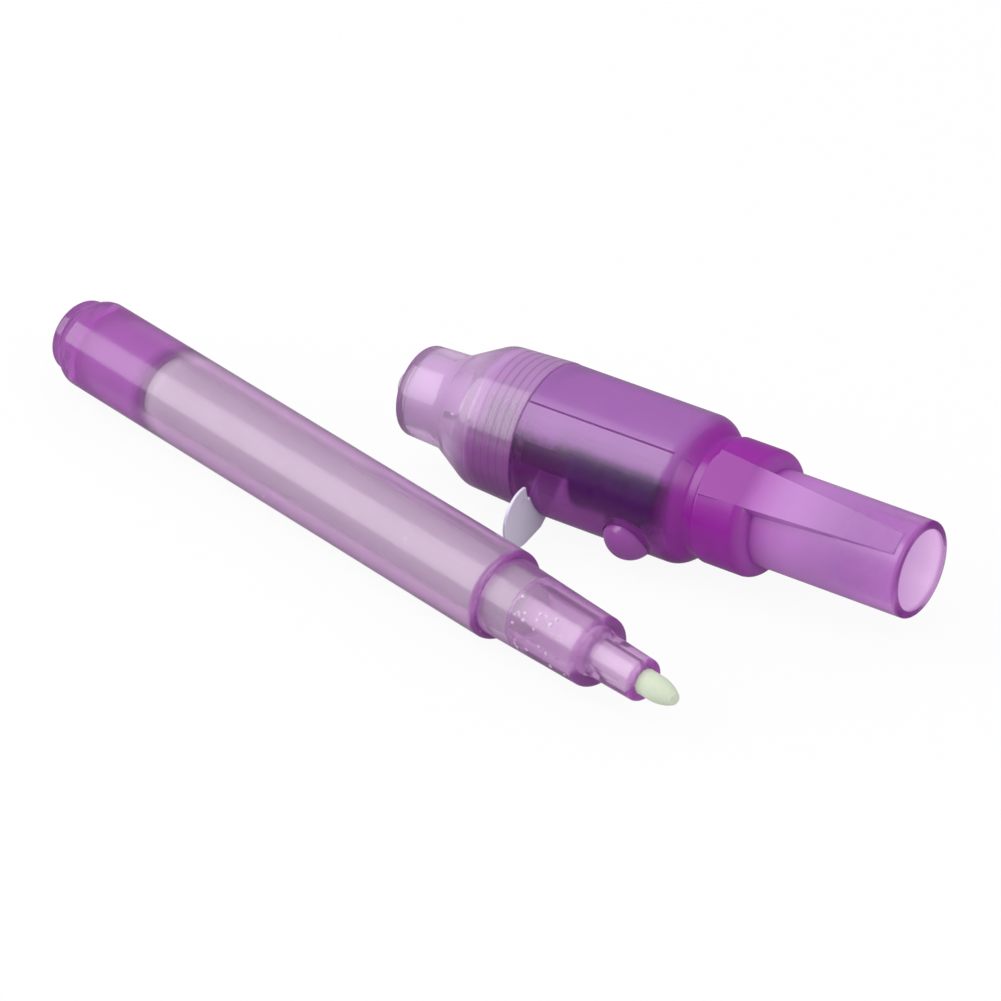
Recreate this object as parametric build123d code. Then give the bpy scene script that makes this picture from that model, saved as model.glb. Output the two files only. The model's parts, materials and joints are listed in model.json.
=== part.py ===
from build123d import *
import os
from math import cos, pi, radians, sin, tan

# UV invisible ink pen, lying beside its pulled-off cap, which is also a small UV torch.
# Sizes are in millimetres. Lengths along the pen run from its rear end to its nib.
# Lengths along the cap run from the face of its nose to its open rim.
# An angle round the cap is 0 on the side of the pen, and grows towards the top.

# Pen moulding: barrel, section and nose
barrel_length = 65.2
barrel_bore_r = 3.6
barrel_wall = 1.46
barrel_lip_round = 0.7
section_length = 14.5
section_wall = 0.71
section_taper = 0.38
section_lip_round = 0.9
section_front_wall = 1.18
section_end_wall = 1.2
nose_length = 6.6
nose_wall = 1.07
nose_taper = 0.17
nose_lip_round = 0.5

# End plug of the barrel
plug_disc_length = 1.2
plug_disc_inset = 0.86
plug_disc_round = 0.45
plug_notch_length = 0.35
plug_notch_depth = 0.25
plug_head_length = 3.65
plug_shoulder_round = 1.5
plug_spigot_length = 10.3
plug_spigot_round = 0.5
plug_clearance = 0.05

# Ink reservoir, its film and the nib
film_clearance = 0.1
film_wall = 0.12
rod_clearance = 0.03
reservoir_end_gap = 0.3
reservoir_in_section = 3.6
nib_r = 1.43
nib_clearance = 0.03
nib_reach = 4.55
nib_straight = 1.5
nib_crown_r = 0.66
nib_crown_drop = 0.15
nib_stem_round = 0.3
nib_in_reservoir = 7.0

# Button cells, which lie off the cap's axis, under the button
cell_count = 3
cell_r = 3.95
cell_height = 3.6
cell_lid_inset = 0.75
cell_lid_height = 0.8
cell_crimp_drop = 0.4
cell_gasket_drop = 0.25
cell_gasket_wall = 0.35
cell_edge_round = 0.3
cell_gap = 0.05

# Cell carrier and contacts
chamber_r = 6.26
carrier_clearance = 0.07
carrier_wall = 0.18
carrier_end_wall = 0.6
carrier_flange = 0.6
stud_length = 4.6
stud_r = 1.2
stud_head_r = 2.0
stud_head = 0.4
stud_clearance = 0.05
stud_boss_wall = 0.7
rear_plate = 0.15
rear_plate_r = 2.6
rear_strip = 0.12
rear_strip_span = 40.0
rear_strip_past = 1.5
contact_gap = 0.1
leaf_wall = 0.15
leaf_clearance = 0.03
leaf_angle = 14.0
leaf_strip_span = 22.0
leaf_band_width = 3.4
leaf_band_past = 16.0
leaf_front_gap = 0.4

# Light-emitting diode and its leads
led_r = 2.5
led_reach = 2.34
led_height = 8.6
led_flange_r = 2.9
led_flange = 1.0
led_flange_round = 0.15
led_crown_flat = 0.01
led_clearance = 0.12
frame_depth = 4.0
frame_root = 1.5
frame_split = 0.5
anvil_width = 1.3
post_width = 0.9
post_drop = 0.4
lead_size = 0.5
lead_pitch = 2.54
lead_strip = 0.3
lead_straight = 2.4
lead_lap = 1.2
lead_leaf_gap = 0.1
lead_bend_gap = 0.2
lead_overlap = 0.1

# Holder of the diode, and the contact spring
holder_wall = 1.03
holder_clearance = 0.15
holder_end_gap = 0.05
holder_flange = 1.25
holder_hollow_inset = 0.4
holder_web = 1.0
holder_slot_clearance = 0.15
spring_wire = 0.4
spring_front_r = 2.1
spring_rear_r = 1.5
spring_turns = 5.5
spring_gap = 0.08
spring_clearance = 0.25

# Screw-on head of the cap
head_nose_length = 5.15
head_nose_round = 0.9
head_nose_flare = 0.25
head_root_round = 0.8
head_cone_length = 4.75
head_end_wall = 1.0
head_wall = 0.85
skirt_wall = 0.55
skirt_flare = 0.4
skirt_ahead = 1.0
skirt_blend = 2.4
skirt_edge_round = 0.12

# Thread between the head and the body
thread_pitch = 1.0
thread_depth = 0.35
thread_flat = 0.2
thread_root = 0.5
thread_turns = 5
thread_clearance = 0.15
thread_embed = 0.1
lug_turns = 2
neck_wall = 0.59
neck_spare = 0.3
head_gap = 0.1

# Body of the cap
body_wall = 1.97
body_past_cells = 0.65
bulkhead_wall = 1.35
shoulder_length = 2.0
shoulder_round = 2.2
waist_length = 1.0
waist_inset = 0.36
waist_round = 0.4
collar_length = 6.4
collar_rise = 1.63
collar_front_round = 0.5
collar_rear_round = 1.55
tube_wall = 0.85
rim_round = 0.35
socket_clearance = 0.19
section_room = 1.2
nib_room_step = 0.3
nib_room_gap = 0.95

# Seal in the cap's socket
seal_clearance = 0.05
seal_bore_clearance = 0.1
seal_length = 4.2
seal_mouth_round = 0.6

# Parting line and flat panel along the body, collar and tube
seam_angle = 56.3
seam_width = 0.22
seam_depth = 0.12
panel_collar_cut = 0.3
panel_tube_rise = 0.15
panel_front_width = 5.6
panel_rear_width = 2.5
panel_end_gap = 1.0
panel_sink = 0.12

# Push button
button_angle = -33.7
button_from_edge = 14.0
button_r = 2.65
button_clearance = 0.12
button_reach = 1.8
button_flange_rim = 0.3
button_flange = 0.25
button_travel = 0.45
button_stop_gap = 0.07
button_flange_gap = 0.05

# Insulating pull tab
tab_angle = -38.0
tab_from_edge = 2.1
tab_thickness = 0.3
tab_width = 5.0
tab_past_axis = 2.2
tab_root = 0.8
tab_head_r = 3.5
tab_head_out = 1.77
tab_head_angle = -27.5
tab_clearance = 0.15
tab_body_gap = 0.3

# Where the cap lies beside the pen
cap_along = 37.35
cap_aside = 16.85
cap_yaw = 13.81

# Radii of the pen
barrel_r = barrel_bore_r + barrel_wall
section_rear_r = barrel_bore_r + section_wall
section_front_r = section_rear_r - section_taper
section_bore_r = section_front_r - section_front_wall
nib_bore_r = nib_r + nib_clearance
nose_rear_r = nib_bore_r + nose_wall
nose_front_r = nose_rear_r - nose_taper
plug_disc_r = barrel_r - plug_disc_inset
plug_notch_r = plug_disc_r - plug_notch_depth
film_outer_r = barrel_bore_r - film_clearance
film_inner_r = film_outer_r - film_wall
rod_r = film_inner_r - rod_clearance

# Radii of the cap, from the chamber and the diode outwards
leaf_outer_r = chamber_r - leaf_clearance
leaf_inner_r = leaf_outer_r - leaf_wall
carrier_bore_r = cell_r + carrier_clearance
carrier_r = carrier_bore_r + carrier_wall
carrier_flange_r = leaf_inner_r - leaf_clearance
strip_inner_r = carrier_r + leaf_clearance
strip_outer_r = strip_inner_r + rear_strip
cell_shift = leaf_inner_r - contact_gap - strip_outer_r
stud_bore_r = stud_r + stud_clearance
body_r = chamber_r + body_wall
neck_r = chamber_r + neck_wall
thread_crest_r = neck_r + thread_depth
skirt_bore_r = thread_crest_r + thread_clearance
skirt_front_r = skirt_bore_r + skirt_wall
skirt_rear_r = skirt_front_r + skirt_flare
led_seat_r = led_flange_r + led_clearance
holder_r = led_seat_r + holder_wall
holder_flange_r = chamber_r - 2 * holder_clearance
nose_bore_r = holder_r + holder_clearance
head_nose_r = nose_bore_r + head_wall
head_root_r = head_nose_r + head_nose_flare
socket_r = section_rear_r + socket_clearance
tube_r = socket_r + tube_wall
collar_r = tube_r + collar_rise
waist_r = collar_r - waist_inset
nib_room_r = socket_r - nib_room_step
flange_base_r = leaf_outer_r + button_travel + button_stop_gap
pocket_r = flange_base_r + button_flange + button_flange_gap
button_flange_r = button_r + button_flange_rim
tab_head_reach = body_r + tab_head_out

# Stations along the pen
x_notch = plug_disc_length
x_plug_head = x_notch + plug_notch_length
x_mouth = x_plug_head + plug_head_length
x_spigot = x_mouth + plug_spigot_length
x_step = x_mouth + barrel_length
x_section = x_step + section_length
x_nose = x_section + nose_length
x_tip = x_nose + nib_reach
x_rod_rear = x_spigot + reservoir_end_gap
x_rod_front = x_step + reservoir_in_section
x_bore_end = x_rod_front + reservoir_end_gap
x_nib_hole = x_rod_front - nib_in_reservoir

# Stations along the cap
neck_overlap = thread_turns * thread_pitch + 2 * thread_root + neck_spare
x_cone = head_nose_length
x_skirt = x_cone + head_cone_length
x_edge = x_skirt + skirt_ahead + neck_overlap
x_body = x_edge + head_gap
x_neck = x_body - neck_overlap
x_thread = x_neck + thread_root
x_lug = x_thread + (thread_turns - lug_turns - 0.5) * thread_pitch
x_led_base = led_height - led_reach
x_spring_seat = x_neck + lead_strip
x_holder_rear = x_neck + holder_flange
x_tab = x_edge + tab_from_edge
x_stud = x_tab + tab_thickness + cell_gap
x_boss = x_stud + stud_head + stud_clearance
x_cells = x_stud + stud_length + cell_gap
x_cells_end = x_cells + cell_count * cell_height
x_rear_plate = x_cells_end + cell_gap
x_bulkhead = x_rear_plate + rear_plate + cell_gap
x_nib_room = x_bulkhead + bulkhead_wall
x_shoulder = x_bulkhead + body_past_cells
x_waist = x_shoulder + shoulder_length
x_collar = x_waist + waist_length
x_tube = x_collar + collar_length
x_rim = x_nib_room + nib_room_gap + x_tip - x_step
x_socket = x_rim - section_length - section_room
x_seal = x_socket - seal_length
x_panel_end = x_rim - panel_end_gap
x_button = x_edge + button_from_edge


def turned(*corners):
    """Solid of revolution about X. A corner is (x, r), or (x, r, rounding radius)."""
    points = [Vector(c[0], c[1]) for c in corners]
    stops = []
    for i, corner in enumerate(corners):
        point = points[i]
        radius = corner[2] if len(corner) > 2 else 0
        if not radius:
            stops.append((point, point, point))
            continue
        back = (points[i - 1] - point).normalized()
        ahead = (points[(i + 1) % len(points)] - point).normalized()
        half = radians(back.get_angle(ahead)) / 2
        middle = point + (back + ahead).normalized() * (radius / sin(half) - radius)
        stops.append((point + back * (radius / tan(half)), middle, point + ahead * (radius / tan(half))))
    edges = []
    for i, (start, middle, end) in enumerate(stops):
        if start is not end:
            edges.append(ThreePointArc(start, middle, end))
        following = stops[(i + 1) % len(stops)][0]
        edges.append(Line(end, following))
    return revolve(make_face(edges), Axis.X)


def ring(x_start, x_end, inner_r, outer_r):
    """Plain tube about X."""
    return turned((x_start, inner_r), (x_start, outer_r), (x_end, outer_r), (x_end, inner_r))


def rod(x_start, x_end, radius):
    """Plain cylinder about X."""
    return turned((x_start, 0), (x_start, radius), (x_end, radius), (x_end, 0))


def outward(angle, x=0.0, height=0.0):
    """Frame at a height off the cap's axis: local X along the cap, local Z outward at the angle."""
    normal = Vector(0, -cos(radians(angle)), sin(radians(angle)))
    return Plane(origin=Vector(x, 0, 0) + normal * height, x_dir=(1, 0, 0), z_dir=normal)


def sector(x_start, x_end, inner_r, outer_r, angle, span):
    """Part of a tube about X, with its middle at an angle of the cap and a given span."""
    profile = make_face(Polyline(
        (x_start, inner_r), (x_start, outer_r), (x_end, outer_r), (x_end, inner_r), close=True))
    return Rot(180 - angle - span / 2, 0, 0) * revolve(profile, Axis.X, span)


def thread_ridge(x_start, turns, base_r, crest_r):
    """Right-handed thread ridge about X, from just inside its base to its crest."""
    path = Helix(thread_pitch, turns * thread_pitch, base_r, center=(x_start, 0, 0), direction=(1, 0, 0))
    away = (path @ 0 - Vector(x_start, 0, 0)).normalized()
    section = Plane(origin=path @ 0, x_dir=away, z_dir=path % 0)
    rise = crest_r - base_r
    embed = thread_embed if rise < 0 else -thread_embed
    profile = section * make_face(Polyline(
        (embed, -thread_root / 2), (rise, -thread_flat / 2), (rise, thread_flat / 2), (embed, thread_root / 2),
        close=True))
    return sweep(profile, path, is_frenet=True)


def biarc(start, start_dir, end, end_dir):
    """Two arcs that join two points with given directions."""
    chord = end - start
    both = start_dir + end_dir
    a = both.dot(both) - 4
    b = -2 * chord.dot(both)
    c = chord.dot(chord)
    reach = (-b - (b * b - 4 * a * c) ** 0.5) / (2 * a)
    first = start + start_dir * reach
    second = end - end_dir * reach
    middle = (first + second) / 2
    return [TangentArc(start, middle, tangent=start_dir),
            TangentArc(middle, end, tangent=(second - first).normalized())]


def pen_barrel():
    """Barrel, section and nose in one moulding, open at the rear, with a bore for the nib."""
    outer = turned(
        (x_mouth, 0), (x_mouth, barrel_r), (x_step, barrel_r, barrel_lip_round), (x_step, section_rear_r),
        (x_section, section_front_r, section_lip_round), (x_section, nose_rear_r),
        (x_nose, nose_front_r, nose_lip_round), (x_nose, 0))
    bore = turned(
        (x_mouth, 0), (x_mouth, barrel_bore_r), (x_bore_end, barrel_bore_r), (x_bore_end, section_bore_r),
        (x_section - section_end_wall, section_bore_r), (x_section, nib_bore_r),
        (x_nose, nib_bore_r), (x_nose, 0))
    return outer - bore


def end_plug():
    """Rear plug: end disc, notch, rounded head flush with the barrel, and spigot."""
    spigot_r = barrel_bore_r - plug_clearance
    return turned(
        (0, 0), (0, plug_disc_r, plug_disc_round), (x_notch, plug_disc_r), (x_notch, plug_notch_r),
        (x_plug_head, plug_notch_r), (x_plug_head, barrel_r, plug_shoulder_round),
        (x_mouth, barrel_r), (x_mouth, spigot_r), (x_spigot, spigot_r, plug_spigot_round), (x_spigot, 0))


def ink_reservoir():
    """Fibre rod with a blind hole for the nib."""
    return rod(x_rod_rear, x_rod_front, rod_r) - rod(x_nib_hole, x_rod_front, nib_bore_r)


def reservoir_film():
    """Thin film sleeve round the fibre rod."""
    return ring(x_rod_rear, x_rod_front, film_inner_r, film_outer_r)


def nib():
    """Bullet nib with a long stem that reaches into the reservoir."""
    x_stem = x_nib_hole + reservoir_end_gap
    x_bullet = x_nose + nib_straight
    stem = turned((x_stem, 0), (x_stem, nib_r, nib_stem_round), (x_bullet, nib_r), (x_bullet, 0))
    crown = Vector(x_tip - nib_crown_drop, nib_crown_r)
    ogive = TangentArc((x_bullet, nib_r), crown, tangent=(1, 0))
    tip = TangentArc((x_tip, 0), crown, tangent=(0, 1))
    sides = [Line((x_tip, 0), (x_bullet, 0)), Line((x_bullet, 0), (x_bullet, nib_r)), ogive, tip]
    return stem + revolve(make_face(sides), Axis.X)


def head_cap():
    """Head of the cap: nose with a hole for the diode, cone, and skirt with an inner thread."""
    outer = turned(
        (0, 0), (0, head_nose_r, head_nose_round), (x_cone, head_root_r, head_root_round),
        (x_skirt, skirt_front_r, skirt_blend), (x_edge, skirt_rear_r, skirt_edge_round), (x_edge, 0))
    inner = turned(
        (head_end_wall, 0), (head_end_wall, nose_bore_r), (x_cone + head_wall, nose_bore_r),
        (x_skirt + head_wall, skirt_bore_r), (x_edge, skirt_bore_r), (x_edge, 0))
    hole = rod(0, head_end_wall, led_r + led_clearance)
    return outer - inner - hole + thread_ridge(x_lug, lug_turns, skirt_bore_r, skirt_bore_r - thread_depth)


def panel_height(x):
    """Height of the flat panel over the cap's axis, which slopes from the collar to the rim."""
    front = collar_r - panel_collar_cut
    rear = tube_r + panel_tube_rise
    return front + (rear - front) * (x - x_collar) / (x_panel_end - x_collar)


def panel_bar(x_start, x_end, floors, tops):
    """Tapered bar along the panel, between two floors and two tops over the cap's axis."""
    faces = []
    for x, floor, top in zip((x_start, x_end), floors, tops):
        share = (x - x_collar) / (x_panel_end - x_collar)
        half = (panel_front_width + (panel_rear_width - panel_front_width) * share) / 2
        frame = outward(seam_angle, x)
        corners = [frame.from_local_coords((0, side * half, height))
                   for side, height in ((-1, floor), (-1, top), (1, top), (1, floor))]
        faces.append(make_face(Polyline(*corners, close=True)))
    return loft(faces, ruled=True)


def cap_shell():
    """Body of the cap: threaded neck, battery chamber, waist, collar, panel and tube with the pen's socket."""
    shell = turned(
        (x_neck, 0), (x_neck, neck_r), (x_body, neck_r), (x_body, body_r), (x_shoulder, body_r, shoulder_round),
        (x_waist, waist_r, waist_round), (x_collar, waist_r), (x_collar, collar_r, collar_front_round),
        (x_tube, collar_r, collar_rear_round), (x_tube, tube_r), (x_rim, tube_r, rim_round), (x_rim, 0))
    x_panel = x_collar + collar_front_round
    panel_floor = socket_r + panel_sink
    shell += panel_bar(x_panel, x_panel_end, (panel_floor, panel_floor),
                       (panel_height(x_panel), panel_height(x_panel_end)))
    shell -= panel_bar(x_waist, x_tube, (panel_height(x_waist), panel_height(x_tube)), (body_r, body_r))
    shell -= rod(x_neck, x_bulkhead, chamber_r)
    shell -= rod(x_nib_room, x_socket, nib_room_r)
    shell -= rod(x_socket, x_rim, socket_r)
    shell += thread_ridge(x_thread, thread_turns, neck_r, thread_crest_r)
    seam = outward(seam_angle, (x_body + x_shoulder) / 2, body_r) * Box(
        x_shoulder - x_body, seam_width, 2 * seam_depth)
    slot = outward(tab_angle, x_tab + tab_thickness / 2, body_r) * Box(
        tab_thickness + 2 * tab_clearance, tab_width + 2 * tab_clearance, body_r)
    hole = outward(button_angle, x_button, body_r) * Cylinder(button_r + button_clearance, body_r)
    pocket = outward(button_angle, x_button, pocket_r / 2) * Cylinder(
        button_flange_r + button_clearance, pocket_r)
    return shell - seam - slot - hole - pocket


def inner_seal():
    """Seal ring at the bottom of the socket, which closes round the pen's nose."""
    outer_r = nib_room_r - seal_clearance
    bore_r = nose_rear_r + seal_bore_clearance
    return turned(
        (x_seal, bore_r), (x_seal, outer_r), (x_socket, outer_r), (x_socket, bore_r, seal_mouth_round))


def button():
    """Domed button with a thin retaining flange."""
    crown = body_r + button_reach
    dome_r = (button_r ** 2 + button_reach ** 2) / (2 * button_reach)
    from_base = (Align.CENTER, Align.CENTER, Align.MIN)
    stem = Pos(0, 0, flange_base_r) * Cylinder(button_r, crown - flange_base_r, align=from_base)
    dome = Pos(0, 0, crown - dome_r) * Sphere(dome_r)
    flange = Pos(0, 0, flange_base_r) * Cylinder(button_flange_r, button_flange, align=from_base)
    return outward(button_angle, x_button) * (stem & dome) + outward(button_angle, x_button) * flange


def pull_tab():
    """Insulating strip from the front contact out through the slot, with a rounded head."""
    across = Plane(origin=(x_tab, 0, 0), x_dir=(0, -1, 0), z_dir=(1, 0, 0))
    strip_end = body_r + tab_root
    strip_length = strip_end + tab_past_axis
    strip = Rot(0, 0, -tab_angle) * Pos(strip_end - strip_length / 2, 0) * Rectangle(strip_length, tab_width)
    root = Rot(0, 0, -tab_angle) * Pos(strip_end - tab_root / 2, 0) * Rectangle(tab_root, tab_width)
    head = Rot(0, 0, -tab_head_angle) * Pos(tab_head_reach, 0) * Circle(tab_head_r)
    outline = strip + (make_hull((root + head).edges()) - Circle(body_r + tab_body_gap))
    return extrude(across * outline, tab_thickness)


def under_button(solid):
    """Moves what was made on the cap's axis to the axis of the cells."""
    return Pos(outward(button_angle).z_dir * cell_shift) * solid


def cell(index):
    """One button cell as its can, gasket and lid. The lid, its negative side, faces the diode."""
    start = x_cells + index * cell_height
    joint = start + cell_lid_height
    lid_r = cell_r - cell_lid_inset
    gasket_r = lid_r + cell_gasket_wall
    can = turned(
        (joint, 0), (joint, gasket_r), (start + cell_crimp_drop, gasket_r),
        (start + cell_crimp_drop, cell_r, cell_edge_round), (start + cell_height, cell_r, cell_edge_round),
        (start + cell_height, 0))
    gasket = ring(start + cell_gasket_drop, joint, lid_r, gasket_r)
    lid = turned((start, 0), (start, lid_r, cell_edge_round), (joint, lid_r), (joint, 0))
    return {"can": under_button(can), "gasket": under_button(gasket), "lid": under_button(lid)}


def cell_carrier():
    """Carrier of the cells: thin cup, two flanges that centre it in the chamber, and a boss for the stud."""
    x_wall = x_cells - cell_gap - carrier_end_wall
    x_flange = x_cells_end - carrier_flange
    flanges = rod(x_wall, x_cells - cell_gap, carrier_flange_r) + rod(x_flange, x_cells_end, carrier_flange_r)
    cup = under_button(rod(x_wall, x_cells_end, carrier_r))
    boss = rod(x_boss, x_wall, stud_bore_r + stud_boss_wall)
    cells_bore = under_button(rod(x_cells - cell_gap, x_cells_end, carrier_bore_r))
    strip_room = under_button(sector(x_flange, x_cells_end, carrier_r, chamber_r, button_angle,
                                     rear_strip_span + carrier_clearance))
    return cup + (flanges - strip_room) + boss - cells_bore - rod(x_boss, x_cells, stud_bore_r)


def contact_stud():
    """Turned stud that joins the pull tab's place to the first cell."""
    return rod(x_stud, x_stud + stud_head, stud_head_r) + rod(x_stud, x_stud + stud_length, stud_r)


def rear_contact():
    """Plate behind the last cell, with a strip over the carrier that ends under the switch leaf."""
    x_plate_end = x_rear_plate + rear_plate
    strip = sector(x_button - rear_strip_past, x_plate_end, strip_inner_r, strip_outer_r, button_angle,
                   rear_strip_span)
    arm = sector(x_rear_plate, x_plate_end, rear_plate_r / 2, strip_outer_r, button_angle, rear_strip_span)
    return under_button(rod(x_rear_plate, x_plate_end, rear_plate_r) + arm + strip)


def switch_leaf():
    """Spring leaf: a strip along the chamber and a band that reaches round under the button."""
    strip = sector(x_body + leaf_front_gap, x_button, leaf_inner_r, leaf_outer_r, leaf_angle, leaf_strip_span)
    band_top = leaf_angle + leaf_strip_span / 2
    band_end = button_angle - leaf_band_past
    band = sector(x_button - leaf_band_width / 2, x_button + leaf_band_width / 2, leaf_inner_r, leaf_outer_r,
                  (band_top + band_end) / 2, band_top - band_end)
    return strip + band


def led_lead(points, width):
    """Bent strip of lead metal through points (x, height) in the plane of the diode's leads."""
    frame = outward(leaf_angle)
    plane = Plane(origin=(0, 0, 0), x_dir=(1, 0, 0), z_dir=-frame.y_dir)
    return extrude(plane * trace(Polyline(*points), width), lead_size / 2, both=True)


def led_parts():
    """Diode lens with its two lead frames, which carry on as the leads."""
    x_frame = x_led_base - frame_depth
    x_root = x_led_base - frame_root
    x_lead = x_root - lead_overlap
    half = lead_pitch / 2
    anvil_at = -(frame_split + anvil_width) / 2
    post_at = (frame_split + post_width) / 2
    x_tail = x_spring_seat - lead_strip / 2
    tail_end = -spring_front_r - spring_wire / 2
    leaf_at = leaf_inner_r - lead_leaf_gap - lead_strip / 2
    cathode = led_lead([(x_frame, anvil_at), (x_root, anvil_at)], anvil_width)
    cathode += led_lead([(x_lead, -half), (x_tail, -half), (x_tail, tail_end)], lead_strip)
    anode = led_lead([(x_frame + post_drop, post_at), (x_root, post_at)], post_width)
    anode += led_lead([(x_lead, half), (x_led_base + lead_straight, half), (x_neck - lead_bend_gap, leaf_at),
                       (x_body + leaf_front_gap + lead_lap, leaf_at)], lead_strip)
    x_flange = x_led_base - led_flange
    lens = turned(
        (-led_reach, 0), (-led_reach, led_r, led_r - led_crown_flat), (x_flange, led_r),
        (x_flange, led_flange_r, led_flange_round), (x_led_base, led_flange_r), (x_led_base, 0))
    return {"uv_led_lens": lens - cathode - anode, "uv_led_cathode": cathode, "uv_led_anode": anode}


def led_holder():
    """Holder that fills the head's nose, seats the diode's flange and carries the contact spring."""
    x_front = head_end_wall + holder_end_gap
    x_seat = x_led_base - led_flange - holder_end_gap
    body = turned(
        (x_front, 0), (x_front, holder_r), (x_neck, holder_r), (x_neck, holder_flange_r),
        (x_holder_rear, holder_flange_r), (x_holder_rear, 0))
    body -= rod(x_front, x_seat, led_r + led_clearance)
    body -= rod(x_seat, x_led_base, led_seat_r)
    body -= rod(x_led_base, x_neck - holder_web, led_flange_r - holder_hollow_inset)
    body -= rod(x_spring_seat, x_holder_rear, spring_front_r + spring_wire / 2 + spring_clearance)
    slot_width = lead_size + 2 * holder_slot_clearance
    slot_length = x_holder_rear - x_led_base
    anode_slot = outward(leaf_angle, x_led_base + slot_length / 2, chamber_r / 2) * Box(
        slot_length, slot_width, chamber_r)
    tail_depth = spring_front_r + spring_wire / 2 + spring_clearance
    cathode_slot = outward(leaf_angle, x_neck, -tail_depth / 2) * Box(2 * holder_web, slot_width, tail_depth)
    return body - anode_slot - cathode_slot


def contact_spring():
    """Conical contact spring from the holder to the pull tab, one unbroken wire."""
    start_x = x_spring_seat + spring_gap + spring_wire / 2
    end_x = x_tab - spring_gap - spring_wire / 2
    quarters = round(spring_turns * 4)
    shrink = spring_rear_r - spring_front_r

    def point(t):
        radius = spring_front_r + shrink * t
        turn = 2 * pi * spring_turns * t
        return Vector(start_x + (end_x - start_x) * t, radius * cos(turn), radius * sin(turn))

    def heading(t):
        turn = 2 * pi * spring_turns * t
        speed = 2 * pi * spring_turns * (spring_front_r + shrink * t)
        return Vector(end_x - start_x, shrink * cos(turn) - speed * sin(turn),
                      shrink * sin(turn) + speed * cos(turn)).normalized()

    arcs = []
    for i in range(quarters):
        t = i / quarters
        u = (i + 1) / quarters
        arcs += biarc(point(t), heading(t), point(u), heading(u))
    wire = Plane(origin=point(0), z_dir=heading(0)) * Circle(spring_wire / 2)
    steps_per_turn = 40
    steps = round(steps_per_turn * spring_turns)
    line = [point(i / steps) for i in range(steps + 1)]
    least = min((a - b).length for i, a in enumerate(line) for b in line[i + steps_per_turn // 2:])
    print("contact spring: least gap between its turns %.2f mm" % (least - spring_wire))
    return sweep(wire, Wire(arcs))


def pieces_of_pen():
    return {
        "pen_barrel": pen_barrel(),
        "end_plug": end_plug(),
        "ink_reservoir": ink_reservoir(),
        "reservoir_film": reservoir_film(),
        "nib": nib(),
    }


def pieces_of_cap():
    pieces = {
        "head_cap": head_cap(),
        "cap_shell": cap_shell(),
        "inner_seal": inner_seal(),
        "button": button(),
        "pull_tab": pull_tab(),
        "cell_carrier": cell_carrier(),
        "contact_stud": contact_stud(),
        "rear_contact": rear_contact(),
        "switch_leaf": switch_leaf(),
        "led_holder": led_holder(),
        "contact_spring": contact_spring(),
    }
    pieces.update(led_parts())
    for index in range(cell_count):
        for name, solid in cell(index).items():
            pieces["cell_%d_%s" % (index + 1, name)] = solid
    return pieces


pen_place = Pos(0, 0, barrel_r)
cap_place = Pos(cap_along, cap_aside, skirt_rear_r) * Rot(0, 0, cap_yaw)
placed = {name: pen_place * solid for name, solid in pieces_of_pen().items()}
placed.update({name: cap_place * solid for name, solid in pieces_of_cap().items()})

# The origin is under the middle of the whole, on the surface that it lies on.
boxes = [solid.bounding_box() for solid in placed.values()]
low = Vector(min(b.min.X for b in boxes), min(b.min.Y for b in boxes))
high = Vector(max(b.max.X for b in boxes), max(b.max.Y for b in boxes))
origin = (low + high) / 2
print("origin in the pen's frame: %.4f, %.4f" % (origin.X, origin.Y))

os.makedirs("parts", exist_ok=True)
for name, solid in placed.items():
    export_step(Pos(-origin) * solid, "parts/%s.step" % name)
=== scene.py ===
import json
import math

import bpy
from mathutils import Matrix, Vector


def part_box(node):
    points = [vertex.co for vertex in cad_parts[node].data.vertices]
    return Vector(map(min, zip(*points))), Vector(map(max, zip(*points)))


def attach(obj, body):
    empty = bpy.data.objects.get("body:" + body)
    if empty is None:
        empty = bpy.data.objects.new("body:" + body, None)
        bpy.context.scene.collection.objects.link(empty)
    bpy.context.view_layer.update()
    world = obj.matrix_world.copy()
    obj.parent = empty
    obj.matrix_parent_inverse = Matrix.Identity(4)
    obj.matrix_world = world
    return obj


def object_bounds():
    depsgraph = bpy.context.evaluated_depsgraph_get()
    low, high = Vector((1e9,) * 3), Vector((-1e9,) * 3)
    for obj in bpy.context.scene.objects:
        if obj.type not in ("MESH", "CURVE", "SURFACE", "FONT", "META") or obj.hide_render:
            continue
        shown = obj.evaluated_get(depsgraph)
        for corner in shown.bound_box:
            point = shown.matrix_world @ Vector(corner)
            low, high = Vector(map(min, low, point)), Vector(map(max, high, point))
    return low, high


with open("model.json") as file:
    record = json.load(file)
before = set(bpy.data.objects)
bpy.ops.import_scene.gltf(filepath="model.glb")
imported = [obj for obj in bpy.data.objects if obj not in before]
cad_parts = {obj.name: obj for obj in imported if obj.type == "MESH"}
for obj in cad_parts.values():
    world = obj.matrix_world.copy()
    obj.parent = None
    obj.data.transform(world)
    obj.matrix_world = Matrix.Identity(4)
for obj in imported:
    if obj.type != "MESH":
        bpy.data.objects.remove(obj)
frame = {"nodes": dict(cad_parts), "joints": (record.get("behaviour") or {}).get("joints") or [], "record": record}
cad_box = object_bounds()
nodes = frame["nodes"]

MM = 0.001

# Where the photograph was taken from, in the part's own frame
PHOTO_SIZE = 1001
PHOTO_AZIMUTH = 48.3185
PHOTO_ELEVATION = 32.4316
PHOTO_DISTANCE = 772 * MM
PHOTO_TARGET = Vector((0.078, 1.119, 0.0)) * MM
PHOTO_FOCAL_PIXELS = 7207
SENSOR_WIDTH = 36.0
NEAR_CLIP = 10 * MM
FAR_CLIP = 20.0

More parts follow.
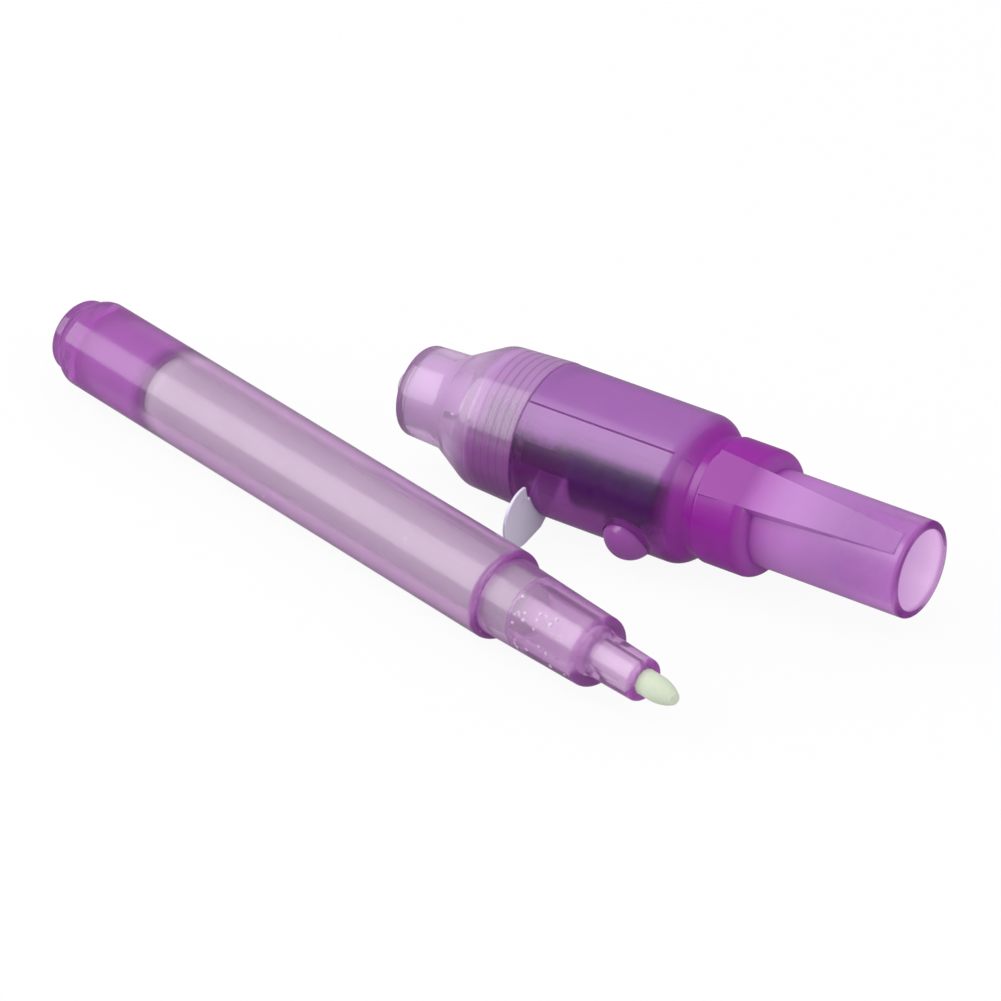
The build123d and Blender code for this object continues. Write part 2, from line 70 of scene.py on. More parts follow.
# Studio: floor, room and two soft lights, in metres and watts
FLOOR_SIDE = 6.0
FLOOR_TOOTH = 3 * MM
FLOOR_WHITE_TO_EYE = 0.93
FLOOR_WHITE_THROUGH_PLASTIC = 0.68
ROOM_HORIZON = 0.42
ROOM_OVERHEAD = 1.1
ROOM_MIRRORED = 0.3
SOFTBOX_FROM = Vector((-0.50, -0.62, 0.60))
SOFTBOX_DISTANCE = 0.9
SOFTBOX_WIDE = 0.7
SOFTBOX_TALL = 1.0
SOFTBOX_WATTS = 5.6
FILL_FROM = Vector((0.95, 0.0, 0.45))
FILL_DISTANCE = 0.9
FILL_WIDE = 0.6
FILL_TALL = 0.5
FILL_WATTS = 1.6
LIGHT_BOUNCES = 28

# Skin of the moulded plastics
FLOW_SIZE = 9.0 * MM
FLOW_DETAIL = 2.0
RIPPLE_SIZE = 2.2 * MM
RIPPLE_DETAIL = 3.0
RIPPLE_DEEP = 0.05 * MM
RIPPLE_STRENGTH = 0.04
BLUR_LEAST = 0.8
BLUR_MOST = 1.2
PLASTIC_SHEEN = 0.2
WALL_INDEX = 1.22
INSIDE_INDEX = 1.05
LENS_INDEX = 1.3
WALL_POLISH = 0.06

# Grain of the solid materials
GRAIN_DETAIL = 4.0
DULL_LEAST = 0.75
DULL_MOST = 1.25

# The pen's line starts at its rear end, the cap's at its nose
PEN_RADIUS = 5.06 * MM
PEN_LONG = 96.05 * MM
CAP_LONG = 63.3 * MM
CAP_SKIRT_AT = 9.9 * MM
THREAD_PITCH = 1.0 * MM
ACROSS_LONG = 20 * MM
LOWER_FRONT = Vector((0, -0.611, -0.792))
barrel_low, barrel_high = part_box("pen_barrel")
pen_rear = Vector((cad_box[0][0], (barrel_low.y + barrel_high.y) / 2, PEN_RADIUS))
head_turn = next(joint for joint in frame["joints"] if joint["name"] == "head_unscrew")
cap_axis = -Vector(head_turn["axis"])
cap_yaw = math.atan2(cap_axis.y, cap_axis.x)
cap_nose = Vector(head_turn["pos_m"]) - cap_axis * CAP_SKIRT_AT
cap_frame = Matrix.Translation(cap_nose) @ Matrix.Rotation(cap_yaw, 4, "Z")
lower_front = Matrix.Rotation(cap_yaw, 3, "Z") @ LOWER_FRONT

# Lines through the pieces: start, turn, length, and whether the line winds like a screw
ALONG_PEN = (pen_rear, (0, 0, 0), PEN_LONG, False)
ALONG_CAP = (cap_nose, (0, 0, cap_yaw), CAP_LONG, False)
ROUND_THREAD = (cap_nose, (0, 0, cap_yaw), THREAD_PITCH, True)
ACROSS_CAP = (cap_nose - lower_front * ACROSS_LONG / 2, lower_front.to_track_quat("X", "Z").to_euler(),
              ACROSS_LONG, False)

# Along the pen, in millimetres from its rear: how far the wall closes up to its own colour
PEN_WALL = ((0, 0.2), (5.2, 0.42), (6.6, 0.2), (14.5, 0.16), (16.5, 0), (69.9, 0), (70.2, 0.6),
            (70.4, 0.65), (70.7, 0.12), (83.8, 0.05), (84.5, 0.35), (85.0, 0.4), (85.5, 0.06),
            (90.9, 0.05), (91.4, 0.5))
PEN_MILK = ((0, 0), (16.0, 0), (18.0, 0.22), (69.5, 0.22), (70.5, 0.12), (91.5, 0.1))
REAR_HAZE = ((0, 0.3), (4.5, 0.4), (14.5, 0.45), (16.8, 0))
PLUG_MILK = ((0, 0.25), (5.0, 0.4), (15.5, 0.55))
PLUG_WALL = ((0, 0.1), (4.2, 0.12), (5.2, 0.4), (5.6, 0.12), (14.5, 0.12), (15.5, 0.5))
NIB_INSIDE = ((0, 1), (90.8, 1), (91.6, 0))

# Along the cap, in millimetres from its nose
HEAD_WALL = ((0, 0.4), (0.7, 0.3), (1.3, 0), (16.6, 0), (17.1, 0.3))
SKIRT_ZONE = ((0, 0), (10.0, 0), (11.4, 1), (17.2, 1))
THREAD_ZONE = ((0, 0), (11.3, 0), (11.5, 1), (16.5, 1), (16.7, 0))
BODY_ZONE = ((0, 0), (17.0, 0), (17.4, 1), (36.5, 1), (37.5, 0))
# Rows of the cells along the body, where their painted shadow lies on its wall
CELL_SHADOW_ROWS = ((0, 0), (23.9, 0), (24.6, 1), (27.4, 1), (27.9, 0.35), (28.4, 1), (31.0, 1), (31.5, 0.35),
             (32.0, 1), (34.6, 1), (35.4, 0))
COLLAR_WALL = ((0, 0), (35.2, 0), (36.4, 0.35), (37.0, 0.85), (43.5, 0.85), (45.6, 0.7), (48.0, 0.3),
               (51.0, 0.1), (55, 0), (62.7, 0), (63.1, 0.4))
TUBE_MILK = ((0, 0), (44.0, 0), (45.6, 0.75), (50.0, 0.68), (56.0, 0.36), (61.0, 0.12), (62.5, 0.02))

# Across the cap, in millimetres from its upper back to its lower front, with the axis at 10: painted light on the
# upper side, painted shade on the lower side and where the cells lie
BODY_PAINTED_LIGHT_ABOVE = ((0, 0.5), (8.5, 0.5), (10.0, 0.42), (11.4, 0.0), (20, 0))
BODY_PAINTED_SHADE_BELOW = ((0, 0), (10.4, 0), (13.0, 0.1), (15.5, 0.18), (17.0, 0.34), (18.5, 0.5))
CELL_PAINTED_SHADOW = ((0, 0), (10.0, 0), (11.3, 0.6), (14.4, 0.6), (16.0, 0.1), (17.5, 0))
SKIRT_PAINTED_LIGHT_ABOVE = ((0, 0.4), (6.0, 0.4), (9.5, 0))
SKIRT_PAINTED_SHADE_BELOW = ((0, 0.06), (8.0, 0.04), (11.0, 0.06), (14.5, 0.5), (20, 0.7))
CELL_SHADE = ((0, 0), (10.5, 0), (11.6, 1), (20, 1))
CARRIER_PAINTED_SHADE = ((0, 0), (10.3, 0), (11.0, 0.95), (20, 0.95))
LEAF_SHADE = ((0, 0), (10.0, 0), (11.4, 1), (20, 1))

# Within one pitch of the thread: painted shade that draws the thread's roots as dark rings
THREAD_PAINTED_SHADE = ((0, 0), (0.3, 0), (0.45, 0.42), (0.55, 0.42), (0.7, 0))

# Parting line of the cap: its angle, its thickness, and millimetres from the nose and from the axis
SEAM_ANGLE = 56.3
SEAM_RADIUS = 0.07 * MM
SEAM_LINE = ((17.45, 8.16), (23.5, 8.16), (29.5, 8.16), (35.2, 8.16), (35.95, 8.06), (36.6, 7.71),
             (37.6, 6.9))


def linear(hex_code):
    """An sRGB hex colour as linear red, green, blue and alpha."""
    parts = []
    for start in (1, 3, 5):
        value = int(hex_code[start:start + 2], 16) / 255
        parts.append(value / 12.92 if value <= 0.04045 else ((value + 0.055) / 1.055) ** 2.4)
    return (*parts, 1.0)


def add(tree, kind, settings=None, **inputs):
    """Adds a node with its settings. Each input takes a value, or the output that feeds it, and goes by its
    name, or by the letter i and its place in the list where several have the same name."""
    made = tree.nodes.new(kind)
    for name, value in (settings or {}).items():
        setattr(made, name, value)
    for name, value in inputs.items():
        key = int(name[1:]) if name[0] == "i" and name[1:].isdigit() else name.replace("_", " ")
        socket = made.inputs[key]
        if isinstance(value, bpy.types.NodeSocket):
            tree.links.new(value, socket)
        else:
            socket.default_value = value
    return made


def new_material(name):
    """An empty node material and its tree."""
    made = bpy.data.materials.new(name)
    made.use_nodes = True
    made.node_tree.nodes.clear()
    return made, made.node_tree


def ramp_along(tree, at, place, stations):
    """A value from 0 to 1 by stations in millimetres along a line through the piece. Along a screw, the
    stations lie within one pitch and wind round the line with a right-hand thread."""
    start, turn, length, screw = place
    local = add(tree, "ShaderNodeMapping", {"vector_type": "TEXTURE"}, Vector=at, Location=start,
                Rotation=turn, Scale=(length, length, length))
    split = add(tree, "ShaderNodeSeparateXYZ", Vector=local.outputs["Vector"])
    along = split.outputs["X"]
    if screw:
        section = add(tree, "ShaderNodeCombineXYZ", X=split.outputs["Y"], Y=split.outputs["Z"])
        spin = add(tree, "ShaderNodeTexGradient", {"gradient_type": "RADIAL"},
                   Vector=section.outputs["Vector"])
        wound = add(tree, "ShaderNodeMath", {"operation": "SUBTRACT"}, i0=along, i1=spin.outputs["Fac"])
        phase = add(tree, "ShaderNodeMath", {"operation": "FRACT"}, i0=wound.outputs["Value"])
        along = phase.outputs["Value"]
    ramp = add(tree, "ShaderNodeValToRGB", Fac=along)
    steps = ramp.color_ramp.elements
    while len(steps) < len(stations):
        steps.new(0.5)
    for step, (station, value) in zip(steps, stations):
        step.position = station * MM / length
        step.color = (value, value, value, 1)
    return ramp.outputs["Color"]


def moulded_plastic(name, skin, body, depth, clear, blur, walls_and_painted_light=(), index=WALL_INDEX, polish=WALL_POLISH):
    """Injection-moulded clear plastic with dye: the tint deepens with the length of plastic that the light
    goes through, and the skin keeps the slow ripple of the mould. Each wall entry is a colour that the
    plastic closes up to, with one ramp, or several that are multiplied: milky where it is thin and deep where
    it is thick, and on some pieces painted light on the upper side and painted shade below and where the
    cells lie."""
    made, tree = new_material(name)
    at = add(tree, "ShaderNodeTexCoord").outputs["Object"]
    flow = add(tree, "ShaderNodeTexNoise", Vector=at, Scale=1 / FLOW_SIZE, Detail=FLOW_DETAIL)
    ripple = add(tree, "ShaderNodeTexNoise", Vector=at, Scale=1 / RIPPLE_SIZE, Detail=RIPPLE_DETAIL)
    rough = add(tree, "ShaderNodeMapRange", Value=ripple.outputs["Fac"], To_Min=blur * BLUR_LEAST,
                To_Max=blur * BLUR_MOST)
    shade = add(tree, "ShaderNodeMix", {"data_type": "RGBA"}, i0=flow.outputs["Fac"],
                i6=linear(skin[0]), i7=linear(skin[1]))
    bump = add(tree, "ShaderNodeBump", Strength=RIPPLE_STRENGTH, Distance=RIPPLE_DEEP,
               Height=ripple.outputs["Fac"])
    dye = add(tree, "ShaderNodeBsdfPrincipled", Base_Color=shade.outputs["Result"],
              Roughness=rough.outputs["Result"], IOR=index, Transmission_Weight=clear,
              Specular_IOR_Level=PLASTIC_SHEEN, Normal=bump.outputs["Normal"])
    look = dye.outputs["BSDF"]
    for colour, first, *others in walls_and_painted_light:
        layer_share = ramp_along(tree, at, *first)
        for other in others:
            layer_share = add(tree, "ShaderNodeMath", {"operation": "MULTIPLY"}, i0=layer_share,
                         i1=ramp_along(tree, at, *other)).outputs["Value"]
        layer_shader = add(tree, "ShaderNodeBsdfPrincipled", Base_Color=linear(colour), IOR=index,
                   Roughness=rough.outputs["Result"], Specular_IOR_Level=PLASTIC_SHEEN,
                   Normal=bump.outputs["Normal"])
        look = add(tree, "ShaderNodeMixShader", i0=layer_share, i1=look, i2=layer_shader.outputs["BSDF"]).outputs["Shader"]
    inner_side = add(tree, "ShaderNodeNewGeometry").outputs["Backfacing"]
    share = add(tree, "ShaderNodeMapRange", Value=inner_side, To_Min=polish, To_Max=0.0)
    mirror = add(tree, "ShaderNodeBsdfAnisotropic", Roughness=rough.outputs["Result"],
                 Normal=bump.outputs["Normal"])
    polished = add(tree, "ShaderNodeMixShader", i0=share.outputs["Result"], i1=look,
                   i2=mirror.outputs["BSDF"])
    volume = add(tree, "ShaderNodeVolumeAbsorption", Color=linear(body), Density=depth / MM)
    add(tree, "ShaderNodeOutputMaterial", Surface=polished.outputs["Shader"], Volume=volume.outputs["Volume"])
    return made


def plain_solid(name, colours, rough, grain_size, stretch=(1, 1, 1), bump_height=0.02, bump=0.2, stain_and_shade=None,
                **shader_values):
    """A material with a mottled colour and a bumpy skin, by a grain in millimetres. The stain argument is a
    second colour that comes in along a line through the piece: a real change of colour on the nib, painted
    shade on the cells and the switch leaf."""
    made, tree = new_material(name)
    at = add(tree, "ShaderNodeTexCoord").outputs["Object"]
    along = add(tree, "ShaderNodeMapping", Vector=at, Scale=stretch)
    grain = add(tree, "ShaderNodeTexNoise", Vector=along.outputs["Vector"], Scale=1 / (grain_size * MM),
                Detail=GRAIN_DETAIL)
    shade = add(tree, "ShaderNodeMix", {"data_type": "RGBA"}, i0=grain.outputs["Fac"],
                i6=linear(colours[0]), i7=linear(colours[1]))
    if stain_and_shade:
        colour, place, stations = stain_and_shade
        shade = add(tree, "ShaderNodeMix", {"data_type": "RGBA"}, i0=ramp_along(tree, at, place, stations),
                    i6=shade.outputs["Result"], i7=linear(colour))
    dull = add(tree, "ShaderNodeMapRange", Value=grain.outputs["Fac"], To_Min=rough * DULL_LEAST,
               To_Max=min(1.0, rough * DULL_MOST))
    skin = add(tree, "ShaderNodeBump", Strength=bump, Distance=bump_height * MM, Height=grain.outputs["Fac"])
    shader = add(tree, "ShaderNodeBsdfPrincipled", Base_Color=shade.outputs["Result"],
                 Roughness=dull.outputs["Result"], Normal=skin.outputs["Normal"], **shader_values)
    add(tree, "ShaderNodeOutputMaterial", Surface=shader.outputs["BSDF"])
    return made


# Finishes by the material slots of the record
finishes = {
    # Pale violet barrel: the fibre rod glows through it, and the rear and the steps close up to violet
    "pen_plastic": moulded_plastic(
        "pen_clear_polystyrene", skin=("#FEF8FE", "#FCF4FD"), body="#DA86DF", depth=0.22,
        clear=1.0, blur=0.17,
        walls_and_painted_light=(("#DCC4DE", (ALONG_PEN, PEN_MILK)),
               ("#BE7AC8", (ALONG_PEN, REAR_HAZE)),
               ("#9E28A8", (ALONG_PEN, PEN_WALL)))),
    # Violet body: milky above as painted light, dark below and where the cells lie against it as painted shade,
    # deep in the collar, paler along the tube
    "cap_plastic": moulded_plastic(
        "cap_clear_polystyrene", skin=("#F8DCFC", "#F4D4F9"), body="#DD67E3", depth=0.26,
        clear=1.0, blur=0.24,
        walls_and_painted_light=(("#B676C6", (ACROSS_CAP, BODY_PAINTED_LIGHT_ABOVE), (ALONG_CAP, BODY_ZONE)),
               ("#D092DD", (ALONG_CAP, TUBE_MILK)),
               ("#941C9C", (ALONG_CAP, COLLAR_WALL)),
               # Painted shade on the lower front of the body
               ("#941C9C", (ACROSS_CAP, BODY_PAINTED_SHADE_BELOW), (ALONG_CAP, BODY_ZONE)),
               # Painted shadow of the cells on the wall where they lie
               ("#42105A", (ACROSS_CAP, CELL_PAINTED_SHADOW), (ALONG_CAP, CELL_SHADOW_ROWS)))),
    # Pale head: painted shade draws the turns of the thread as dark rings, and the skirt is painted milky above as
    # light and darker underneath as shade
    "head_plastic": moulded_plastic(
        "head_clear_polystyrene", skin=("#F4E2F8", "#F0DAF5"), body="#DD67E3", depth=0.10,
        clear=0.82, blur=0.15,
        walls_and_painted_light=(("#882490", (ALONG_CAP, HEAD_WALL)),
               # Painted light on the upper side of the skirt, and painted shade below
               ("#C08ECC", (ACROSS_CAP, SKIRT_PAINTED_LIGHT_ABOVE), (ALONG_CAP, SKIRT_ZONE)),
               ("#882490", (ACROSS_CAP, SKIRT_PAINTED_SHADE_BELOW), (ALONG_CAP, SKIRT_ZONE)),
               # Painted shade in the roots of the thread
               ("#882490", (ROUND_THREAD, THREAD_PAINTED_SHADE), (ALONG_CAP, THREAD_ZONE)))),
    # Fibre rod wet with ink: near white with a green cast and fine streaks along the pen
    "ink_fibre": plain_solid(
        "ink_polyester_fibre", colours=("#E2F8E0", "#EAFCE8"), rough=0.85, grain_size=0.35,
        stretch=(0.03, 1, 1), bump_height=0.05, bump=0.4),
    # Film round the rod: hardly seen, it only softens the fibres
    "clear_film": moulded_plastic(
        "wrap_polypropylene_film", skin=("#FEFEFE", "#FCFCFC"), body="#F0E8F2", depth=0.02,
        clear=1.0, blur=0.20, index=INSIDE_INDEX, polish=0.0),
    # Nib: chalky pale green at the tip, white inside the barrel
    "nib_fibre": plain_solid(
        "nib_sintered_polyester", colours=("#BAC4AE", "#CCD4C0"), rough=0.8, grain_size=0.25,
        bump_height=0.03, bump=0.4, stain_and_shade=("#FFFFFF", ALONG_PEN, NIB_INSIDE), Subsurface_Weight=0.3,
        Subsurface_Radius=(0.6 * MM, 0.6 * MM, 0.5 * MM)),
    # Seal in the tube: a soft pink shade behind the milky wall
    "seal_plastic": moulded_plastic(
        "seal_polyethylene", skin=("#DC9AE4", "#D690DE"), body="#DD67E3", depth=0.05,
        clear=0.15, blur=0.2, index=INSIDE_INDEX, polish=0.0),
    # Pull tab: a cool white strip that light soaks into
    "tab_plastic": plain_solid(
        "tab_polyester_strip", colours=("#DCD6E8", "#E2DCEE"), rough=0.3, grain_size=2.0, IOR=1.5,
        Subsurface_Weight=1.0, Subsurface_Radius=(2 * MM, 2 * MM, 2 * MM)),
    # Button cells: satin metal with a painted pink reflection, and painted shade that makes them nearly black
    # below
    "cell_steel": plain_solid(
        "cell_nickel_plated_steel", colours=("#CC8CC6", "#D698CE"), rough=0.35, grain_size=0.8, Metallic=1.0,
        stain_and_shade=("#3A1A4A", ACROSS_CAP, CELL_SHADE)),
    # Gaskets: dull lilac rings between the cans and the lids
    "gasket_plastic": plain_solid("gasket_nylon", colours=("#C8A8D0", "#D0B4D8"), rough=0.5, grain_size=0.8),
    # Contacts: bright satin metal
    "contact_metal": plain_solid(
        "contact_nickel_plated_steel", colours=("#E6E0EA", "#F0EAF2"), rough=0.3, grain_size=0.8,
        Metallic=1.0),
    # Stud: dull grey metal, as brass looks through the violet wall
    "stud_brass": plain_solid(
        "stud_turned_brass", colours=("#8A8492", "#9A94A0"), rough=0.4, grain_size=0.8, Metallic=1.0),
    # Legs of the diode: grey metal, a dark smudge in the nose
    "lead_metal": plain_solid(
        "lead_tinned_iron", colours=("#9C9A9A", "#B8B6B5"), rough=0.35, grain_size=0.6, Metallic=1.0),
    # Lens of the diode: clear and glossy with a faint violet cast
    "led_epoxy": moulded_plastic(
        "lens_cast_epoxy", skin=("#F8F2FA", "#F2EAF6"), body="#E0D0EC", depth=0.03,
        clear=0.85, blur=0.05, index=LENS_INDEX),
    # Holder of the diode: plain white that brightens the head from inside
    "holder_plastic": plain_solid(
        "holder_abs", colours=("#F2ECF4", "#F8F4FA"), rough=0.45, grain_size=1.5, IOR=1.5),
}

# Finishes of single nodes that look unlike the rest of their slot
own_finishes = {
    # Button: stronger violet than the body, with a clear highlight
    "button": moulded_plastic(
        "button_clear_polystyrene", skin=("#D478DE", "#CC70D6"), body="#DD67E3", depth=0.10,
        clear=0.6, blur=0.10),
    # End plug: milky violet, deeper at its flange and its inner end
    "end_plug": moulded_plastic(
        "plug_clear_polystyrene", skin=("#E4A6EA", "#DE9EE4"), body="#D967DF", depth=0.12,
        clear=0.95, blur=0.10,
        walls_and_painted_light=(("#B470BE", (ALONG_PEN, PLUG_MILK)),
               ("#9E28A8", (ALONG_PEN, PLUG_WALL)))),
    # Cell carrier: clear above, with painted shade below as dark as the cells
    "cell_carrier": moulded_plastic(
        "carrier_clear_polystyrene", skin=("#E6B0EC", "#E0A6E8"), body="#DD67E3", depth=0.10,
        clear=1.0, blur=0.10,
        walls_and_painted_light=(("#2A0A34", (ACROSS_CAP, CARRIER_PAINTED_SHADE)),), index=INSIDE_INDEX, polish=0.0),
    # Switch leaf: spring steel painted with the violet it reflects from round it, with painted shade below
    "switch_leaf": plain_solid(
        "leaf_spring_steel_painted_reflection", colours=("#A85CB8", "#B068C0"), rough=0.4, grain_size=0.8, Metallic=1.0,
        stain_and_shade=("#5A2068", ACROSS_CAP, LEAF_SHADE)),
}

slot_of = {part["node"]: part["material_slot"] for part in frame["record"]["subparts"]}
for name, obj in nodes.items():
    obj.data.materials.clear()
    obj.data.materials.append(own_finishes.get(name, finishes[slot_of[name]]))


def as_piece(name, mesh, body):
    """A finished mesh as an object that rides on a body of the frame."""
    piece = bpy.data.objects.new(name, mesh)
    bpy.context.scene.collection.objects.link(piece)
    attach(piece, body)


def settled_mesh(draft):
    """The plain mesh that a draft object comes to; the draft is removed."""
    bpy.context.scene.collection.objects.link(draft)
    mesh = bpy.data.meshes.new_from_object(draft.evaluated_get(bpy.context.evaluated_depsgraph_get()))
    bpy.data.objects.remove(draft)
    return mesh


def on_cap(x, radius, angle):
    """A point of the cap: millimetres from the nose and from the axis, at an angle round it."""
    turn = math.radians(angle)
    return cap_frame @ Vector((x * MM, -radius * MM * math.cos(turn), radius * MM * math.sin(turn)))


def parting_line(name, finish):
    """A thin round line in the cap's parting groove and over its shoulder."""
    line = bpy.data.curves.new(name, "CURVE")
    line.dimensions = "3D"
    line.bevel_depth = SEAM_RADIUS
    line.bevel_resolution = 2
    line.use_fill_caps = True
    spline = line.splines.new("NURBS")
    spline.points.add(len(SEAM_LINE) - 1)
    for knot, (x, radius) in zip(spline.points, SEAM_LINE):
        knot.co = (*on_cap(x, radius, SEAM_ANGLE), 1)
    spline.use_endpoint_u = True
    spline.order_u = 3
    mesh = settled_mesh(bpy.data.objects.new(name + "_draft", line))
    mesh.materials.clear()
    mesh.materials.append(finish)
    as_piece(name, mesh, "light_cap")


def bubble_tree(finish):
    """Geometry Nodes: air bubbles at random in the wall of a tube that lies along x."""
    tree = bpy.data.node_groups.new("bubbles_in_a_wall", "GeometryNodeTree")
    inputs = {}
    for label, kind in (("Count", "NodeSocketInt"), ("Start", "NodeSocketFloat"), ("End", "NodeSocketFloat"),
                        ("Inner Radius", "NodeSocketFloat"), ("Outer Radius", "NodeSocketFloat"),
                        ("Lowest Angle", "NodeSocketFloat"), ("Highest Angle", "NodeSocketFloat"),
                        ("Smallest", "NodeSocketFloat"), ("Largest", "NodeSocketFloat"),
                        ("Seed", "NodeSocketInt")):
        inputs[label] = tree.interface.new_socket(label, in_out="INPUT", socket_type=kind)
    tree.interface.new_socket("Bubbles", in_out="OUTPUT", socket_type="NodeSocketGeometry")
    given = add(tree, "NodeGroupInput").outputs
    chance = []
    for low, high in (("Start", "End"), ("Inner Radius", "Outer Radius"), ("Lowest Angle", "Highest Angle"),
                      ("Smallest", "Largest")):
        seed = add(tree, "ShaderNodeMath", i0=given["Seed"], i1=float(len(chance)))
        pick = add(tree, "FunctionNodeRandomValue", i2=given[low], i3=given[high], Seed=seed.outputs["Value"])
        chance.append(pick.outputs[1])
    along, out, turn, size = chance
    cosine = add(tree, "ShaderNodeMath", {"operation": "COSINE"}, i0=turn)
    sine = add(tree, "ShaderNodeMath", {"operation": "SINE"}, i0=turn)
    aside = add(tree, "ShaderNodeMath", {"operation": "MULTIPLY"}, i0=out, i1=cosine.outputs["Value"])
    up = add(tree, "ShaderNodeMath", {"operation": "MULTIPLY"}, i0=out, i1=sine.outputs["Value"])
    spot = add(tree, "ShaderNodeCombineXYZ", X=along, Y=aside.outputs["Value"], Z=up.outputs["Value"])
    points = add(tree, "GeometryNodePoints", Count=given["Count"], Position=spot.outputs["Vector"])
    ball = add(tree, "GeometryNodeMeshIcoSphere", Radius=1.0, Subdivisions=2)
    placed = add(tree, "GeometryNodeInstanceOnPoints", Points=points.outputs[0],
                 Instance=ball.outputs["Mesh"], Scale=size)
    real = add(tree, "GeometryNodeRealizeInstances", Geometry=placed.outputs["Instances"])
    dressed = add(tree, "GeometryNodeSetMaterial", Geometry=real.outputs["Geometry"], Material=finish)
    add(tree, "NodeGroupOutput", i0=dressed.outputs["Geometry"])
    return tree, {label: item.identifier for label, item in inputs.items()}


def bubbles(name, tree, sockets, **sizes):
    """One scatter of bubbles in the pen's wall, turned into a plain mesh."""
    draft = bpy.data.objects.new(name + "_draft", bpy.data.meshes.new(name + "_draft"))
    scatter = draft.modifiers.new("bubbles", "NODES")
    scatter.node_group = tree
    for label, value in sizes.items():
        scatter[sockets[label.replace("_", " ")]] = value
    mesh = settled_mesh(draft)
    mesh.transform(Matrix.Translation(pen_rear))
    as_piece(name, mesh, "pen")


# Parting line: a fine dark violet line along the body
seam_shade = plain_solid("seam_weld_line", colours=("#7A2484", "#86308F"), rough=0.5, grain_size=0.8)
parting_line("parting_line", seam_shade)

# Bubbles: small white specks in the pen's wall, their white a painted glint, larger in the section than in the
# barrel
bubble_glint = plain_solid("bubble_painted_glint", colours=("#F8F0FA", "#FFFFFF"), rough=0.2, grain_size=0.3,
                         IOR=1.3)
bubble_nodes, bubble_sockets = bubble_tree(bubble_glint)
bubbles("section_bubbles", bubble_nodes, bubble_sockets, Count=22, Start=74.2 * MM, End=83.2 * MM,
        Inner_Radius=3.55 * MM, Outer_Radius=3.65 * MM, Lowest_Angle=math.radians(-245),
        Highest_Angle=math.radians(-140), Smallest=0.15 * MM, Largest=0.26 * MM, Seed=4)
bubbles("barrel_bubbles", bubble_nodes, bubble_sockets, Count=26, Start=20 * MM, End=69 * MM,
        Inner_Radius=4.6 * MM, Outer_Radius=4.9 * MM, Lowest_Angle=math.radians(-240),
        Highest_Angle=math.radians(-100), Smallest=0.05 * MM, Largest=0.1 * MM, Seed=11)


def studio_floor():
    """A pale floor that reads white to the eye and keeps a soft trace of the shadow."""
    mesh = bpy.data.meshes.new("floor")
    half = FLOOR_SIDE / 2
    low = cad_box[0][2]
    mesh.from_pydata([(-half, -half, low), (half, -half, low), (half, half, low), (-half, half, low)], [],
                     [(0, 1, 2, 3)])
    floor = bpy.data.objects.new("floor", mesh)
    bpy.context.scene.collection.objects.link(floor)
    made, tree = new_material("floor_matt_paper")
    at = add(tree, "ShaderNodeTexCoord").outputs["Object"]
    tooth = add(tree, "ShaderNodeTexNoise", Vector=at, Scale=1 / FLOOR_TOOTH)
    shade = add(tree, "ShaderNodeMix", {"data_type": "RGBA"}, i0=tooth.outputs["Fac"],
                i6=linear("#DDDDDD"), i7=linear("#E3E3E3"))
    paper = add(tree, "ShaderNodeBsdfDiffuse", Color=shade.outputs["Result"])
    white = add(tree, "ShaderNodeEmission", Color=linear("#FFFFFF"), Strength=1.0)
    ray = add(tree, "ShaderNodeLightPath")
    seen = add(tree, "ShaderNodeMath", {"operation": "MULTIPLY"}, i0=ray.outputs["Is Camera Ray"],
               i1=FLOOR_WHITE_TO_EYE)
    through = add(tree, "ShaderNodeMath", {"operation": "MULTIPLY_ADD"},
                  i0=ray.outputs["Is Transmission Ray"], i1=FLOOR_WHITE_THROUGH_PLASTIC,
                  i2=seen.outputs["Value"])
    both = add(tree, "ShaderNodeMixShader", i0=through.outputs["Value"], i1=paper.outputs["BSDF"],
               i2=white.outputs["Emission"])
    dim = add(tree, "ShaderNodeEmission", Color=linear("#FFFFFF"), Strength=ROOM_MIRRORED)
    mirrored = add(tree, "ShaderNodeMath", {"operation": "SUBTRACT", "use_clamp": True},
                   i0=ray.outputs["Is Glossy Ray"], i1=ray.outputs["Is Transmission Ray"])
    last = add(tree, "ShaderNodeMixShader", i0=mirrored.outputs["Value"], i1=both.outputs["Shader"],
               i2=dim.outputs["Emission"])
    add(tree, "ShaderNodeOutputMaterial", Surface=last.outputs["Shader"])
    mesh.materials.append(made)


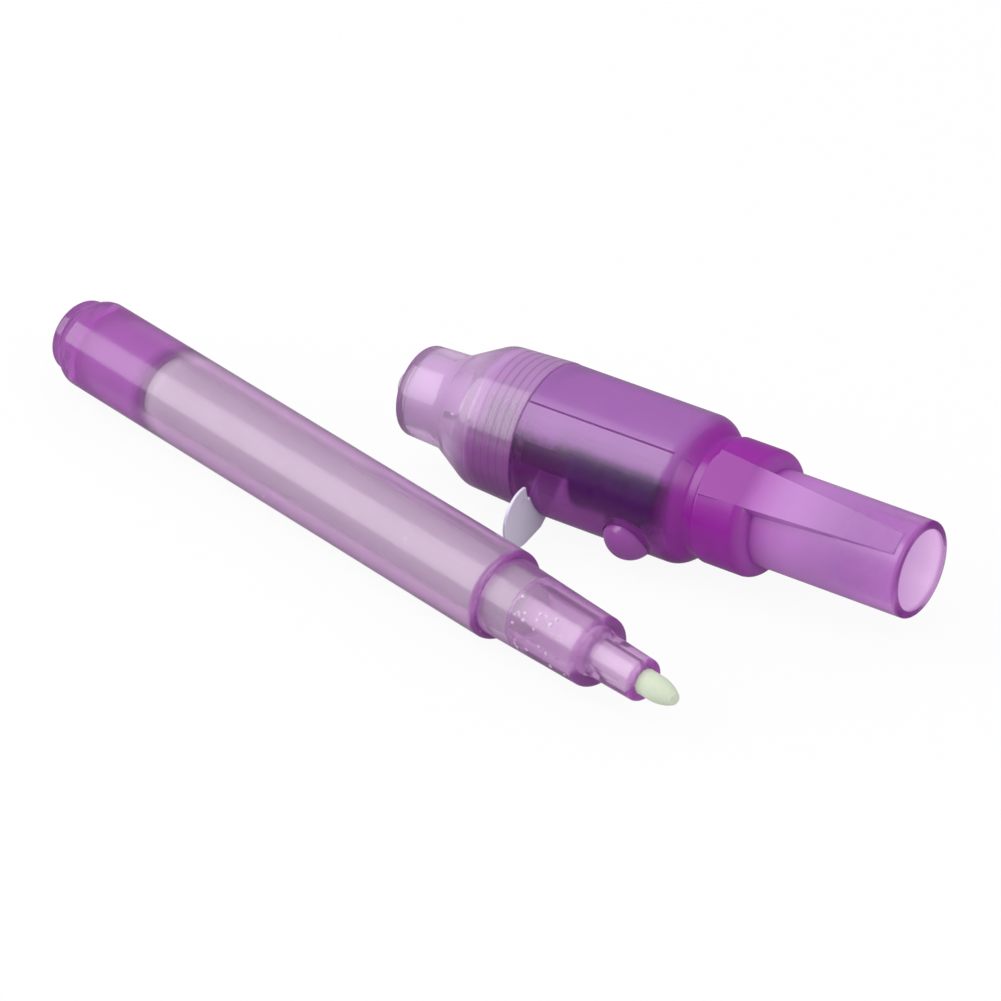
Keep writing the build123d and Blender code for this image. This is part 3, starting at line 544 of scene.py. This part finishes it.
def studio_world():
    """A white room, brighter overhead than at the horizon, plain white to the eye and dim in reflections."""
    world = bpy.data.worlds.new("white_room")
    world.use_nodes = True
    tree = world.node_tree
    tree.nodes.clear()
    ray = add(tree, "ShaderNodeLightPath")
    towards = add(tree, "ShaderNodeTexCoord").outputs["Generated"]
    height = add(tree, "ShaderNodeSeparateXYZ", Vector=towards)
    room = add(tree, "ShaderNodeMapRange", Value=height.outputs["Z"], To_Min=ROOM_HORIZON,
               To_Max=ROOM_OVERHEAD)
    mirrored = add(tree, "ShaderNodeMath", {"operation": "SUBTRACT", "use_clamp": True},
                   i0=ray.outputs["Is Glossy Ray"], i1=ray.outputs["Is Transmission Ray"])
    lit = add(tree, "ShaderNodeMapRange", Value=mirrored.outputs["Value"], To_Min=room.outputs["Result"],
              To_Max=ROOM_MIRRORED)
    strength = add(tree, "ShaderNodeMapRange", Value=ray.outputs["Is Camera Ray"],
                   To_Min=lit.outputs["Result"], To_Max=1.0)
    back = add(tree, "ShaderNodeBackground", Color=linear("#FFFFFF"), Strength=strength.outputs["Result"])
    add(tree, "ShaderNodeOutputWorld", Surface=back.outputs["Background"])
    bpy.context.scene.world = world


def soft_light(name, source, distance, wide, tall, watts):
    """A large soft light that looks at the pen from the given side."""
    light = bpy.data.lights.new(name, "AREA")
    light.shape = "RECTANGLE"
    light.size = wide
    light.size_y = tall
    light.energy = watts
    lamp = bpy.data.objects.new(name, light)
    bpy.context.scene.collection.objects.link(lamp)
    lamp.location = source.normalized() * distance
    lamp.rotation_euler = source.to_track_quat("Z", "Y").to_euler()


def photo_camera():
    """The camera where the photograph was taken from."""
    turn = math.radians(PHOTO_AZIMUTH)
    lift = math.radians(PHOTO_ELEVATION)
    back = Vector((math.sin(turn) * math.cos(lift), -math.cos(turn) * math.cos(lift), math.sin(lift)))
    lens = bpy.data.cameras.new("photo_camera")
    lens.sensor_width = SENSOR_WIDTH
    lens.lens = PHOTO_FOCAL_PIXELS * SENSOR_WIDTH / PHOTO_SIZE
    lens.clip_start = NEAR_CLIP
    lens.clip_end = FAR_CLIP
    camera = bpy.data.objects.new("photo_camera", lens)
    bpy.context.scene.collection.objects.link(camera)
    camera.location = PHOTO_TARGET + back * PHOTO_DISTANCE
    camera.rotation_euler = back.to_track_quat("Z", "Y").to_euler()
    bpy.context.scene.camera = camera


studio_floor()
studio_world()
soft_light("softbox", SOFTBOX_FROM, SOFTBOX_DISTANCE, SOFTBOX_WIDE, SOFTBOX_TALL, SOFTBOX_WATTS)
soft_light("fill_card", FILL_FROM, FILL_DISTANCE, FILL_WIDE, FILL_TALL, FILL_WATTS)
photo_camera()
bpy.context.scene.view_settings.view_transform = "Standard"
bpy.context.scene.cycles.max_bounces = LIGHT_BOUNCES
bpy.context.scene.cycles.transmission_bounces = LIGHT_BOUNCES
